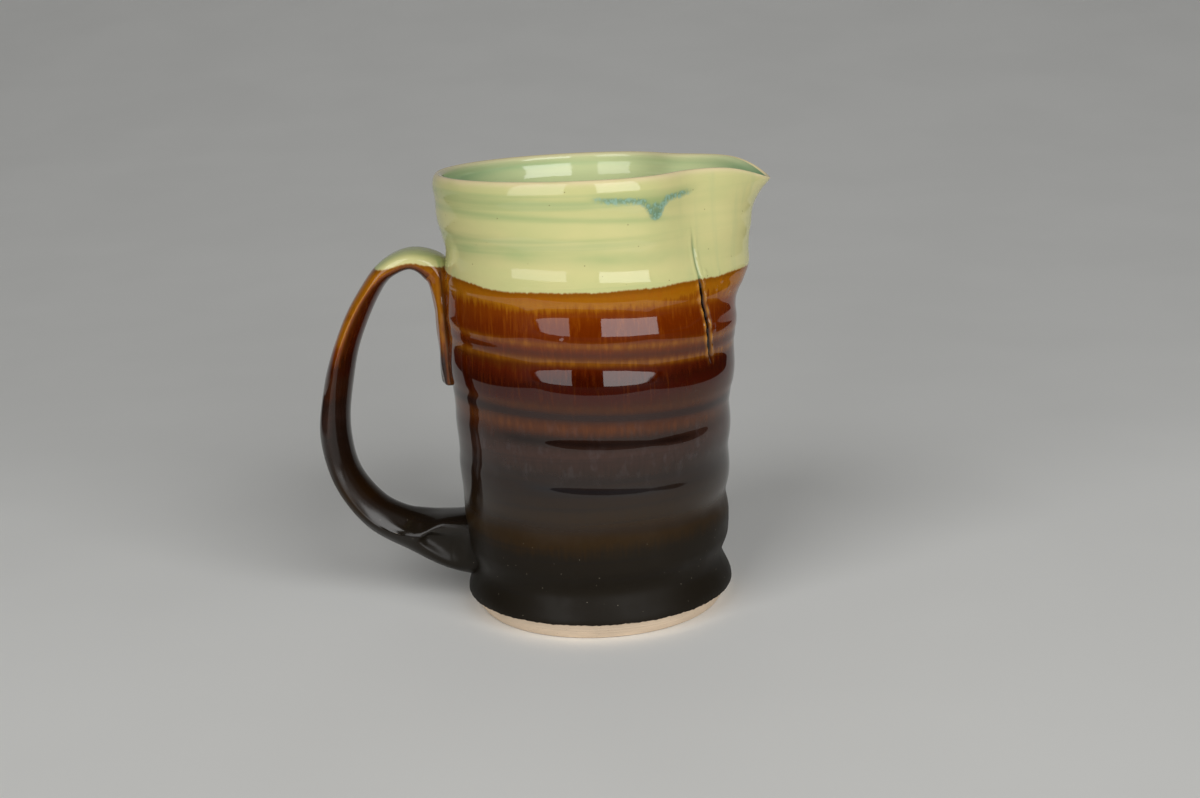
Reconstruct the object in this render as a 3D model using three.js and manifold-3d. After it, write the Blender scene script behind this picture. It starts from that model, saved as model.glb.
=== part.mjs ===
// A wheel-thrown stoneware cream jug: a ringed, foot-flared wall with a pulled pouring lip,
// a pulled strap handle luted on with slip, and fired glaze coats over the clay.
// Millimetres, +Z up. The origin is the middle of the base, the lip points along +X
// and the handle stands at -X.

import * as THREE from "three";
import { mergeVertices } from "three/addons/utils/BufferGeometryUtils.js";
import Module from "manifold-3d";

const wasm = await Module();
wasm.setup();

// Thrown wall. Radii are those of the glazed outside, before the lip is pulled.
const RIM_HEIGHT = 125;
const RIM_RADIUS = 40.8;
const LOWER_RADIUS = 37.4;
const LOWER_HEIGHT = 20;
const WAIST_RADIUS = 35.8;
const WAIST_HEIGHT = 13.2;
const FOOT_RADIUS = 38.4;
const FOOT_HEIGHT = 5;
const BASE_RADIUS = 34.8;
const WALL = 4.2;
const RIM_THICKNESS = 3.4;
const RIM_TAPER = 30;
const FLOOR = 6.5;
const FLOOR_FILLET = 7;

// Throwing rings: one shallow spiral ridge that climbs a pitch in each turn.
const RING_PITCH = 14.8;
const RING_DEPTH = 0.45;
const RING_START = 36.6;
const RING_FADE = 9;

// Pulled pouring lip: a throat pushed out below it, a pinch on each side, a flared edge.
const THROAT_DEPTH = 4.3;
const THROAT_SPREAD = THREE.MathUtils.degToRad(26);
const THROAT_LENGTH = 41;
const THROAT_RISE = 15;
const LIP_REACH = 6.4;
const LIP_SPREAD = THREE.MathUtils.degToRad(15);
const LIP_LENGTH = 25;
const LIP_DROP = 5.3;
const PINCH_DEPTH = 4.4;
const PINCH_ANGLE = THREE.MathUtils.degToRad(42);
const PINCH_SPREAD = THREE.MathUtils.degToRad(18);

// Pulling the lip and pressing on the handle drew the upper wall into a slight oval.
const LIP_PULL = 2;
const HANDLE_PULL = 0.7;
const OVAL_HEIGHT = 56;
const OVAL_RISE = 28;

// Shallow thumb dent in the wall above the handle's upper end.
const DENT_DEPTH = 1.5;
const DENT_SPREAD = THREE.MathUtils.degToRad(24);
const DENT_ABOVE_ARCH = 1.5;
const DENT_REACH = 6;

// Pulled strap handle. It starts as a tail laid down the wall, arches out and returns.
const ARCH_BELOW_RIM = 23.6;
const JOINT_HEIGHT = 18;
const HANDLE_REACH = 35.6;
const TAIL_LENGTH = 35;
const STRAP_WIDTH = 16;
const TAIL_WIDTH = 9;
const TAIL_PROUD = 3.5;
const ROOT_THICKNESS = 8.3;
const ARCH_THICKNESS = 5.3;
const GRIP_THICKNESS = 8.6;
const JOINT_THICKNESS = 19;
const JOINT_DEPTH = 4;

// Fired coats, the slip under the handle's two ends, and the gap between neighbours.
const COAT = 0.6;
const SLIP = 0.8;
const SEAM = 0.3;
const COLLAR_DEPTH = 29;
const BLACK_HEIGHT = 52;
const ARCH_COAT_DEPTH = 3.2;
const RIM_BARE = 1.6;

// Facets of the turned pieces, of the strap and of the rounded edges.
const TURN_SEGMENTS = 34;
const LIP_CROWDING = 0.45;
const RING_STEPS = 4;
const INSIDE_STEP = 16;
const LIP_STEP = 5;
const STRAP_STEPS = 30;
const STRAP_SIDES = 10;
const EDGE_STEPS = 4;

const CLAY_INSET = COAT + SEAM;
const COLLAR_LINE = RIM_HEIGHT - COLLAR_DEPTH;
const COAT_TOP = RIM_HEIGHT - RIM_BARE - RIM_THICKNESS / 2;

// The tail is pressed through its slip into the wall, below the hollows of the rings.
const ARCH_HEIGHT = RIM_HEIGHT - ARCH_BELOW_RIM;
const TAIL_SINK = 2 * CLAY_INSET + RING_DEPTH;
const TAIL_THICKNESS = TAIL_PROUD + TAIL_SINK;
const TAIL_STANDOFF = (TAIL_PROUD - TAIL_SINK) / 2;

const { clamp, smoothstep, lerp } = THREE.MathUtils;
const bell = (x, spread) => Math.exp(-((x / spread) ** 2));

// Solids and geometry

// A geometry with shared vertices merged and slivers of no area dropped.
function welded(geometry) {
  const bare = new THREE.BufferGeometry();
  bare.setAttribute("position", geometry.getAttribute("position"));
  if (geometry.index) bare.setIndex(geometry.index);
  const merged = mergeVertices(bare, 1e-3);
  const kept = [];
  const index = merged.index.array;
  for (let i = 0; i < index.length; i += 3) {
    const [a, b, c] = [index[i], index[i + 1], index[i + 2]];
    if (a !== b && b !== c && c !== a) kept.push(a, b, c);
  }
  return merged.setIndex(kept);
}

// A closed geometry as a solid that can be cut and joined.
function solid(geometry) {
  const closed = welded(geometry);
  return new wasm.Manifold(
    new wasm.Mesh({
      numProp: 3,
      vertProperties: new Float32Array(closed.getAttribute("position").array),
      triVerts: new Uint32Array(closed.index.array),
    }),
  );
}

// A cut or joined solid as a geometry again.
function geometryOf(made) {
  const mesh = made.getMesh();
  const geometry = new THREE.BufferGeometry();
  geometry.setAttribute("position", new THREE.BufferAttribute(new Float32Array(mesh.vertProperties), 3));
  geometry.setIndex([...mesh.triVerts]);
  geometry.computeVertexNormals();
  return geometry;
}

// A block that spans everything between two heights.
function slab(low, high) {
  const span = 4 * (RIM_RADIUS + HANDLE_REACH);
  return solid(new THREE.BoxGeometry(span, span, high - low).translate(0, 0, (low + high) / 2));
}

// Wall shape

// Glazed outside radius of the turned wall at a height, without rings or lip.
function wallRadius(z) {
  const flare = lerp(FOOT_RADIUS, WAIST_RADIUS, smoothstep(z, FOOT_HEIGHT, WAIST_HEIGHT));
  const swell = (LOWER_RADIUS - WAIST_RADIUS) * smoothstep(z, WAIST_HEIGHT, LOWER_HEIGHT);
  const lean = clamp((z - LOWER_HEIGHT) / (RIM_HEIGHT - LOWER_HEIGHT), 0, 1);
  return flare + swell + (RIM_RADIUS - LOWER_RADIUS) * lean;
}

// Clay thickness of the wall at a height: it thins towards the rim.
function wallThickness(z) {
  return lerp(WALL, RIM_THICKNESS - 2 * COAT, smoothstep(z, RIM_HEIGHT - RIM_TAPER, RIM_HEIGHT));
}

// Evenly spaced heights between two limits, no further apart than a step.
function heights(low, high, step) {
  const steps = Math.max(1, Math.ceil((high - low) / step));
  return Array.from({ length: steps + 1 }, (_, i) => lerp(low, high, i / steps));
}

// Levels of every outside surface, so that the clay and its coats have matching facets.
const RING_STEP = RING_PITCH / RING_STEPS;
const COAT_LIMITS = [
  FOOT_HEIGHT,
  BLACK_HEIGHT - SEAM,
  BLACK_HEIGHT,
  COLLAR_LINE - SEAM,
  COLLAR_LINE,
  COAT_TOP,
];
const OUTSIDE_LEVELS = COAT_LIMITS.slice(1).flatMap((high, i) =>
  heights(COAT_LIMITS[i], high, RING_STEP).slice(i === 0 ? 0 : 1),
);
const levelsBetween = (low, high) => OUTSIDE_LEVELS.filter((z) => z > low - 1e-6 && z < high + 1e-6);

// The spiral throwing ring on the outside. The inside is ribbed smooth.
function throwingRing(angle, z) {
  const fade = smoothstep(z, WAIST_HEIGHT, WAIST_HEIGHT + RING_FADE);
  return RING_DEPTH * fade * Math.cos((2 * Math.PI * (z - RING_START)) / RING_PITCH + angle);
}

// How far the potter's fingers moved the wall outwards, and down, at an angle and height.
function handwork(angle, z) {
  const throatFoot = RIM_HEIGHT - THROAT_LENGTH;
  const throatRise = smoothstep(z, throatFoot, throatFoot + THROAT_RISE);
  const throat = THROAT_DEPTH * bell(angle, THROAT_SPREAD) * throatRise;
  const climb = clamp((z - RIM_HEIGHT + LIP_LENGTH) / LIP_LENGTH, 0, 1);
  const lip = LIP_REACH * bell(angle, LIP_SPREAD) * climb ** 4;
  const pinchRise = smoothstep(z, throatFoot, RIM_HEIGHT);
  const pinch = PINCH_DEPTH * bell(Math.abs(angle) - PINCH_ANGLE, PINCH_SPREAD) * pinchRise;
  const dentHeight = z - ARCH_HEIGHT - DENT_ABOVE_ARCH;
  const dent = DENT_DEPTH * bell(Math.PI - Math.abs(angle), DENT_SPREAD) * bell(dentHeight, DENT_REACH);
  const facing = Math.cos(angle);
  const pull = facing > 0 ? LIP_PULL : HANDLE_PULL;
  const oval = pull * facing ** 2 * smoothstep(z, OVAL_HEIGHT, OVAL_HEIGHT + OVAL_RISE);
  return {
    out: throat + lip + oval - pinch - dent,
    down: LIP_DROP * bell(angle, LIP_SPREAD) * climb ** 2,
  };
}

// Facets of a turned profile, split along the same slant on rising and on falling faces,
// so that a coat and the clay behind it stay parallel.
function turnedFacets(points) {
  const index = [];
  for (let turn = 0; turn < TURN_SEGMENTS; turn += 1) {
    for (let step = 0; step < points.length - 1; step += 1) {
      const a = turn * points.length + step;
      const b = a + points.length;
      const falls = points[step + 1].y < points[step].y;
      if (falls) index.push(a, b, b + 1, a, b + 1, a + 1);
      else index.push(a, b, a + 1, b + 1, a + 1, b);
    }
  }
  return index;
}

// A profile of [radius, height] points turned on the wheel, then worked by hand.
function thrown(profile) {
  const points = profile.map(([r, z]) => new THREE.Vector2(r, z));
  const lathe = new THREE.LatheGeometry(points, TURN_SEGMENTS);
  lathe.setIndex(turnedFacets(points));
  const turned = welded(lathe.rotateX(Math.PI / 2));
  const position = turned.getAttribute("position");
  for (let i = 0; i < position.count; i += 1) {
    const [x, y, z] = [position.getX(i), position.getY(i), position.getZ(i)];
    const radius = Math.hypot(x, y);
    if (radius > SEAM) {
      const wheelAngle = Math.atan2(y, x);
      const angle = wheelAngle - LIP_CROWDING * Math.sin(wheelAngle);
      const { out, down } = handwork(angle, z);
      const outside = radius > wallRadius(z) - CLAY_INSET - wallThickness(z) / 2;
      const worked = radius + out + (outside ? throwingRing(angle, z) : 0);
      position.setXYZ(i, worked * Math.cos(angle), worked * Math.sin(angle), z - down);
    }
  }
  turned.computeVertexNormals();
  return turned;
}

// The wall's whole outside as one filled solid, grown or shrunk from the glazed surface.
function filledWall(grow) {
  const side = OUTSIDE_LEVELS.map((z) => [wallRadius(z) + grow, z]);
  return solid(thrown([[0, 0], [BASE_RADIUS + grow, 0], ...side, [0, COAT_TOP]]));
}

// Clay body

// Half-round clay edge between the outside and the inside of the rim.
function rimEdge(outer, inner, top) {
  const middle = (outer + inner) / 2;
  const round = (outer - inner) / 2;
  const angles = Array.from({ length: EDGE_STEPS + 1 }, (_, i) => (Math.PI * i) / EDGE_STEPS);
  return angles.map((a) => [middle + round * Math.cos(a), top - round + round * Math.sin(a)]);
}

// Inside of the clay: wall down from the rim, then a rounded corner on the floor.
function clayInside(z) {
  return wallRadius(Math.max(z, LOWER_HEIGHT)) - CLAY_INSET - wallThickness(z);
}

// Points of the inside from the coats' top to the axis, moved in from the clay by a distance.
function insideProfile(inset) {
  const floor = FLOOR + inset;
  const fillet = FLOOR_FILLET - inset;
  const low = floor + fillet;
  const lipFoot = RIM_HEIGHT - LIP_LENGTH;
  const levels = [...heights(low, lipFoot, INSIDE_STEP), ...heights(lipFoot, COAT_TOP, LIP_STEP).slice(1)];
  const side = levels.map((z) => [clayInside(z) - inset, z]).reverse();
  const corner = Array.from({ length: EDGE_STEPS }, (_, i) => {
    const a = ((i + 1) / EDGE_STEPS) * (Math.PI / 2);
    return [clayInside(low) - inset - fillet * (1 - Math.cos(a)), low - fillet * Math.sin(a)];
  });
  return [...side, ...corner, [0, floor]];
}

function thrownBody() {
  const rim = rimEdge(wallRadius(RIM_HEIGHT) - CLAY_INSET, clayInside(RIM_HEIGHT), RIM_HEIGHT);
  const side = OUTSIDE_LEVELS.map((z) => [wallRadius(z) - CLAY_INSET, z]);
  return thrown([[0, 0], [BASE_RADIUS, 0], ...side, ...rim, ...insideProfile(0)]);
}

// Glaze on the body

function linerGlaze() {
  return thrown([...insideProfile(SEAM).reverse(), ...insideProfile(CLAY_INSET)]);
}

// A band of glaze on the outside between two heights.
function glazeBand(low, high) {
  const levels = levelsBetween(low, high);
  const face = levels.map((z) => [wallRadius(z), z]);
  const back = levels.map((z) => [wallRadius(z) - COAT, z]).reverse();
  return thrown([...face, ...back, face[0]]);
}

// Handle

// Shares of the handle's reach, of its rise and of the joint's extra thickness along the loop,
// from the arch to the lower joint.
const LOOP = [
  [0.23, 1, 0],
  [0.44, 0.97, 0],
  [0.63, 0.875, 0],
  [0.83, 0.717, 0],
  [0.95, 0.55, 0],
  [1, 0.4, 0],
  [0.94, 0.25, 0],
  [0.73, 0.12, 0.17],
  [0.48, 0.056, 0.32],
  [0.34, 0.041, 0.39],
  [0.22, 0.018, 0.66],
];

// Stations along the strap: distance out from the wall, height, thickness and width.
function strapStations() {
  const tail = [
    [TAIL_STANDOFF, ARCH_HEIGHT - TAIL_LENGTH, TAIL_THICKNESS, TAIL_WIDTH],
    [TAIL_STANDOFF, ARCH_HEIGHT - TAIL_LENGTH * 0.7, TAIL_THICKNESS, lerp(TAIL_WIDTH, STRAP_WIDTH, 0.7)],
    [TAIL_STANDOFF, ARCH_HEIGHT - TAIL_LENGTH * 0.37, TAIL_THICKNESS, STRAP_WIDTH],
    [TAIL_STANDOFF + TAIL_THICKNESS / 6, ARCH_HEIGHT - TAIL_LENGTH * 0.11, ROOT_THICKNESS, STRAP_WIDTH],
  ];
  const rise = ARCH_HEIGHT - JOINT_HEIGHT;
  const loop = LOOP.map(([out, up, swelling]) => {
    const grip = lerp(ARCH_THICKNESS, GRIP_THICKNESS, smoothstep(1 - up, 0, 0.6));
    const thickness = lerp(grip, JOINT_THICKNESS, swelling);
    return [out * HANDLE_REACH, JOINT_HEIGHT + up * rise, thickness, STRAP_WIDTH];
  });
  const joint = [
    [0, JOINT_HEIGHT, JOINT_THICKNESS, STRAP_WIDTH],
    [-JOINT_DEPTH, JOINT_HEIGHT, JOINT_THICKNESS, STRAP_WIDTH],
  ];
  return [...tail, ...loop, ...joint];
}

// The whole strap as one solid, grown or shrunk from its glazed surface.
function filledStrap(grow) {
  const stations = strapStations();
  const centre = new THREE.CatmullRomCurve3(
    stations.map(([out, z]) => new THREE.Vector3(-wallRadius(z) - out, 0, z)),
  );
  const size = new THREE.CatmullRomCurve3(stations.map(([, , thick, wide]) => new THREE.Vector3(thick, wide, 0)));
  const across = new THREE.Vector3(0, 1, 0);
  const positions = [];
  for (let step = 0; step <= STRAP_STEPS; step += 1) {
    const t = step / STRAP_STEPS;
    const along = centre.getTangent(t);
    const outward = new THREE.Vector3().crossVectors(across, along).normalize();
    const middle = centre.getPoint(t);
    if (step === 0) middle.addScaledVector(along, -grow);
    const { x: thick, y: wide } = size.getPoint(t);
    for (let side = 0; side < STRAP_SIDES; side += 1) {
      const a = (2 * Math.PI * side) / STRAP_SIDES;
      const point = middle.clone();
      point.addScaledVector(across, (wide / 2 + grow) * Math.cos(a));
      point.addScaledVector(outward, (thick / 2 + grow) * Math.sin(a));
      positions.push(...point.toArray());
    }
  }
  const index = [];
  for (let step = 0; step < STRAP_STEPS; step += 1) {
    for (let side = 0; side < STRAP_SIDES; side += 1) {
      const a = step * STRAP_SIDES + side;
      const b = step * STRAP_SIDES + ((side + 1) % STRAP_SIDES);
      index.push(a, a + STRAP_SIDES, b, b, a + STRAP_SIDES, b + STRAP_SIDES);
    }
  }
  const last = STRAP_STEPS * STRAP_SIDES;
  for (let side = 1; side < STRAP_SIDES - 1; side += 1) {
    index.push(0, side, side + 1);
    index.push(last, last + side + 1, last + side);
  }
  const geometry = new THREE.BufferGeometry();
  geometry.setAttribute("position", new THREE.Float32BufferAttribute(positions, 3));
  geometry.setIndex(index);
  return solid(geometry);
}

const strapClay = filledStrap(-CLAY_INSET);
const strapHole = filledStrap(-COAT);
const slipTop = SEAM + SLIP - CLAY_INSET;
const middleHeight = (ARCH_HEIGHT - TAIL_LENGTH + JOINT_HEIGHT) / 2;

// The strap's clay, cut to sit on its slip.
function pulledHandle() {
  return geometryOf(strapClay.subtract(filledWall(slipTop + SEAM)));
}

// The slip squeezed between the wall and one end of the strap.
function slipJoint(low, high) {
  const layer = filledWall(slipTop).subtract(filledWall(SEAM - CLAY_INSET));
  return geometryOf(strapClay.intersect(layer).intersect(slab(low, high)));
}

// A band on the wall with the strap's ends let through it.
function piercedBand(low, high) {
  return geometryOf(solid(glazeBand(low, high)).subtract(strapHole));
}

// A length of the glaze sleeve round the strap, between two heights, on one side of the arch.
const sleeve = filledStrap(0).subtract(strapHole).subtract(filledWall(SEAM));
function sleeveBetween(low, high) {
  return sleeve.intersect(slab(low, high));
}

// The sleeve below the arch is in two lengths: the tail against the wall and the free loop.
function lengthOf(part, nearWall) {
  const lengths = part.decompose();
  const outermost = (body) => body.boundingBox().min[0];
  lengths.sort((a, b) => outermost(a) - outermost(b));
  return geometryOf(nearWall ? lengths[lengths.length - 1] : lengths[0]);
}

const archLine = ARCH_HEIGHT - ARCH_COAT_DEPTH;
const underArch = sleeveBetween(BLACK_HEIGHT + SEAM, archLine);

// Assembly

const clay = new THREE.MeshStandardMaterial({ color: 0xdcc3a0, roughness: 0.85, metalness: 0 });
const slipClay = new THREE.MeshStandardMaterial({ color: 0xcfb391, roughness: 0.9, metalness: 0 });
const celadon = new THREE.MeshStandardMaterial({ color: 0xc6c78f, roughness: 0.12, metalness: 0 });
const liner = new THREE.MeshStandardMaterial({ color: 0x9cc6a2, roughness: 0.12, metalness: 0 });
const amber = new THREE.MeshStandardMaterial({ color: 0x6a2f0a, roughness: 0.1, metalness: 0 });
const black = new THREE.MeshStandardMaterial({ color: 0x2c231c, roughness: 0.35, metalness: 0 });

const jug = new THREE.Group();
function add(name, geometry, material) {
  const mesh = new THREE.Mesh(geometry, material);
  mesh.name = name;
  jug.add(mesh);
}

add("thrown_body", thrownBody(), clay);
add("pulled_handle", pulledHandle(), clay);
add("upper_slip_joint", slipJoint(middleHeight, RIM_HEIGHT), slipClay);
add("lower_slip_joint", slipJoint(0, middleHeight), slipClay);
add("liner_glaze", linerGlaze(), liner);
add("celadon_glaze", piercedBand(COLLAR_LINE, COAT_TOP), celadon);
add("amber_glaze", piercedBand(BLACK_HEIGHT, COLLAR_LINE - SEAM), amber);
add("black_glaze", piercedBand(FOOT_HEIGHT, BLACK_HEIGHT - SEAM), black);
add("handle_celadon_glaze", geometryOf(sleeveBetween(archLine + SEAM, RIM_HEIGHT)), celadon);
add("handle_amber_glaze", lengthOf(underArch, false), amber);
add("handle_tail_glaze", lengthOf(underArch, true), amber);
add("handle_black_glaze", geometryOf(sleeveBetween(0, BLACK_HEIGHT)), black);

export default jug;
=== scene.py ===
# %% [markdown]
# # A dipped stoneware cream jug
#
# The jug is two pieces of clay, a thrown wall and a pulled strap, under coats of fired glaze.
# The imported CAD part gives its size, its pieces and their places. This script dresses it: every
# coat is rebuilt as a fine mesh from nearly the same sizes, so that throwing rings and creases are
# real shapes, and the colours of the glaze follow the wall's own height and hollows.

import math

import bpy
import numpy as np
from mathutils import Matrix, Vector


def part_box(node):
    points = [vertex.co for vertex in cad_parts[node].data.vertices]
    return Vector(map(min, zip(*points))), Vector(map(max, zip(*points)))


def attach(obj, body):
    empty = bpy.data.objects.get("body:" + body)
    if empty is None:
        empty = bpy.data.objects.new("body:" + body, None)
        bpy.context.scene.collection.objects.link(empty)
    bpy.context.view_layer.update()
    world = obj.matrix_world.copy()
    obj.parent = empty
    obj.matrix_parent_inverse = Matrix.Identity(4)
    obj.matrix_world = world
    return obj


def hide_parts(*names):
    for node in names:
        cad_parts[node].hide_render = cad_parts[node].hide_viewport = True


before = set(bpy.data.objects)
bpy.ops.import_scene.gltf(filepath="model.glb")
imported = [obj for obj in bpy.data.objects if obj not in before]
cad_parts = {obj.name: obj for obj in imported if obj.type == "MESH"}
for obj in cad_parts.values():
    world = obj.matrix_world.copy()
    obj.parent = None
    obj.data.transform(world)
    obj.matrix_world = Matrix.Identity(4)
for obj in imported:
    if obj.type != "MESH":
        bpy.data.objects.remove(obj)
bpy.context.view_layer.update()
MM = 0.001

# %% [markdown]
# ## Sizes
#
# The heights of the coats come from the frame, so the looks follow the solids if they change.
# Most other sizes repeat the named values of the CAD source, in millimetres. The wall and the floor
# are measured over their glaze. The rim is a little thinner, and the lip and the handle reach a
# little less far, so that the fine skins stay inside the solids' box. Angles turn about the wheel's
# axis from the pouring lip, and the side that faces the camera is at -90 degrees.

# %% Sizes of the wall
RIM_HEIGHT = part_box("thrown_body")[1].z / MM
COLLAR_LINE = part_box("celadon_glaze")[0].z / MM
BLACK_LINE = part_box("amber_glaze")[0].z / MM
FOOT_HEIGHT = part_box("black_glaze")[0].z / MM
RIM_RADIUS = 40.8
LOWER_RADIUS = 37.4
LOWER_HEIGHT = 20.0
WAIST_RADIUS = 35.8
WAIST_HEIGHT = 13.2
FOOT_RADIUS = 38.4
BASE_RADIUS = 34.8
WALL = 5.4
RIM_THICKNESS = 3.2
RIM_TAPER = 30.0
FLOOR = 7.4
COAT = 0.6

RING_TILT = 2.36

THROAT_DEPTH = 4.3
THROAT_SPREAD = math.radians(26)
THROAT_LENGTH = 41.0
THROAT_RISE = 15.0
LIP_REACH = 6.0
LIP_SPREAD = math.radians(15)
LIP_LENGTH = 25.0
LIP_DROP = 5.3
PINCH_DEPTH = 4.4
PINCH_ANGLE = math.radians(42)
PINCH_SPREAD = math.radians(18)

LIP_PULL = 2.0
HANDLE_PULL = 0.7
OVAL_HEIGHT = 56.0
OVAL_RISE = 28.0

DENT_DEPTH = 1.5
DENT_SPREAD = math.radians(24)
DENT_HEIGHT = RIM_HEIGHT - 22.1
DENT_REACH = 6.0
print(f"rim {RIM_HEIGHT:.1f}, collar line {COLLAR_LINE:.1f}, "
      f"dark line {BLACK_LINE:.1f}, foot line {FOOT_HEIGHT:.1f}")

# %% [markdown]
# ## The shape of the wall
#
# A thrown wall is a turned profile that fingers have moved a little. Turning a profile with the
# Screw modifier would make a perfect pot, so the points are computed instead: a radius for each
# height, plus what the hands did at that angle. One set of functions then serves the clay, the
# coats and the lining, and they can never cut through one another.

# %% Wall functions
def ease(x, low, high):
    """A smooth step from 0 at low to 1 at high."""
    t = np.clip((x - low) / (high - low), 0, 1)
    return t * t * (3 - 2 * t)


def bell(x, spread):
    """A smooth hump, 1 in the middle."""
    return np.exp(-((x / spread) ** 2))


def mix(a, b, share):
    """The value that lies a share of the way from a to b."""
    return a + (b - a) * share


def wall_radius(z):
    """Glazed outside radius of the turned wall, before any handwork."""
    flare = mix(FOOT_RADIUS, WAIST_RADIUS, ease(z, FOOT_HEIGHT, WAIST_HEIGHT))
    swell = (LOWER_RADIUS - WAIST_RADIUS) * ease(z, WAIST_HEIGHT, LOWER_HEIGHT)
    lean = np.clip((z - LOWER_HEIGHT) / (RIM_HEIGHT - LOWER_HEIGHT), 0, 1)
    return flare + swell + (RIM_RADIUS - LOWER_RADIUS) * lean


def wall_thickness(z):
    """Glazed thickness of the wall, which thins towards the rim."""
    return mix(WALL, RIM_THICKNESS, ease(z, RIM_HEIGHT - RIM_TAPER, RIM_HEIGHT))


# Rings of the wall: the height of the ridge, how steep and how long its upper slope is, how steep and
# how long its lower slope is, and how much of it is left towards the handle and towards the lip.
RINGS = [
    (25.5, 0.05, 7.0, 0.04, 9.0, 1.0, 1.0),
    (40.2, 0.17, 5.6, 0.06, 8.0, 0.75, 0.2),
    (52.8, 0.15, 6.2, 0.08, 6.0, 0.58, 0.3),
    (61.8, 0.05, 3.0, 0.06, 1.2, 1.0, 1.0),
    (67.8, 0.09, 10.2, 0.14, 4.0, 0.82, 1.0),
    (70.0, 0.09, 9.2, 0.0, 1.0, 0.75, 1.0),
    (79.6, 0.0, 1.0, 0.13, 1.5, 1.0, 1.0),
    (82.9, 0.155, 8.9, 0.16, 2.0, 0.6, 1.0),
    (94.2, 0.06, 2.6, 0.13, 2.2, 1.0, 1.0),
    (97.2, 0.15, 6.6, 0.0, 1.0, 1.0, 1.0),
    (111.0, 0.06, 4.6, 0.13, 5.0, 1.0, 1.0),
    (121.0, 0.0, 1.0, 0.10, 5.6, 1.0, 1.0),
]


def slope_hump(x, length):
    """A slope that rises from 0, holds for a while if it is long, and is 0 again at a length."""
    hold = min(max((length - 6) / 8, 0), 0.4)
    rise = (1 - hold) / 2 * length
    return ease(x, 0, rise) * (1 - ease(x, length - rise, length))


def ring_offsets(z, side):
    """Outward offsets of the rings on a side of the wall, summed up from their slopes and set upright."""
    slope = np.zeros_like(z)
    for ridge, upper, upper_length, lower, lower_length, at_handle, at_lip in RINGS:
        hill = lower * slope_hump(ridge - z, lower_length) - upper * slope_hump(z - ridge, upper_length)
        slope += hill * {"front": 1.0, "handle": at_handle, "lip": at_lip}[side]
    offset = np.cumsum(slope) * (z[1] - z[0])
    return offset - np.interp(z, [z[0], z[-1]], [0, offset[-1]])


RING_HEIGHTS = np.linspace(WAIST_HEIGHT, RIM_HEIGHT, 2400)
SIDE_RINGS = {side: ring_offsets(RING_HEIGHTS, side) for side in ("front", "handle", "lip")}
print("rings reach from", *(round(float(edge(SIDE_RINGS["front"])), 2) for edge in (np.min, np.max)), "mm")


# Grooves between the rings that are deeper under the lip: height and extra depth.
LIP_GROOVES = [(31.5, 0.9), (45.0, 0.45), (58.3, 0.45)]
GROOVE_HALF = 3.4
# Degrees round the wall over which the rings change to those of the handle's or the lip's side.
TO_HANDLE_RINGS = (96, 124)
TO_LIP_RINGS = (-62, -32)
FROM_LIP_RINGS = (100, 140)
LIP_GROOVE_ENDS = (20, 70)


def ring_place(angle, z):
    """Height on the front of the wall that has the same ring: the rings tilt as they go round."""
    return z + RING_TILT * np.cos(angle)


def throwing_ring(angle, z):
    """How far the rings and the uneven turning move the wall out."""
    place = ring_place(angle, z)
    turned = np.degrees(angle)
    front, handle, lip = (np.interp(place, RING_HEIGHTS, rings, left=0, right=0)
                          for rings in SIDE_RINGS.values())
    ring = mix(front, handle, ease(np.abs(turned), *TO_HANDLE_RINGS))
    ring = mix(ring, lip, ease(turned, *TO_LIP_RINGS) * (1 - ease(turned, *FROM_LIP_RINGS)))
    fade = ease(z, WAIST_HEIGHT, WAIST_HEIGHT + 4) * (1 - ease(z, RIM_HEIGHT - 7, RIM_HEIGHT - 2))
    wander = 0.08 * np.sin(2 * angle + z / 17) + 0.05 * np.sin(3 * angle - z / 11 + 1.3)
    lip_side = 1 - ease(np.abs(turned), *LIP_GROOVE_ENDS)
    groove = sum(depth * bell(z - height, GROOVE_HALF) for height, depth in LIP_GROOVES) * lip_side
    return fade * (ring + wander - groove)


def handwork(angle, z):
    """How far the fingers moved the wall out, and how far down, at an angle and height."""
    throat_foot = RIM_HEIGHT - THROAT_LENGTH
    throat = THROAT_DEPTH * bell(angle, THROAT_SPREAD) * ease(z, throat_foot, throat_foot + THROAT_RISE)
    climb = np.clip((z - RIM_HEIGHT + LIP_LENGTH) / LIP_LENGTH, 0, 1)
    lip = LIP_REACH * bell(angle, LIP_SPREAD) * climb**4
    pinch = PINCH_DEPTH * bell(np.abs(angle) - PINCH_ANGLE, PINCH_SPREAD) * ease(z, throat_foot, RIM_HEIGHT)
    dent = DENT_DEPTH * bell(math.pi - np.abs(angle), DENT_SPREAD) * bell(z - DENT_HEIGHT, DENT_REACH)
    down = LIP_DROP * bell(np.where(angle > 0, 1.3, 0.93) * angle, LIP_SPREAD) * climb**2
    facing = np.cos(angle)
    pull = np.where(facing > 0, LIP_PULL, HANDLE_PULL)
    oval = pull * facing**2 * ease(z, OVAL_HEIGHT, OVAL_HEIGHT + OVAL_RISE)
    return throat + lip + oval - pinch - dent, down


def on_wall(radius, angle, z, ringed=1.0):
    """Points of a turned surface after the handwork, in millimetres."""
    out, down = handwork(angle, z)
    worked = radius + out + ringed * throwing_ring(angle, z)
    return np.stack([worked * np.cos(angle), worked * np.sin(angle), z - down], axis=-1)


print("wall radius at the foot, waist and rim:", [round(float(wall_radius(z)), 1) for z in (5, 13, 125)])

# %% [markdown]
# ## Meshes from grids
#
# Every coat is a closed skin: its face, a rounded edge and a back. A grid of points that wraps both
# ways gives that with quads only. Values that the glaze will need, such as the height above the
# table, are stored on the points as named attributes for the material to read.

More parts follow.
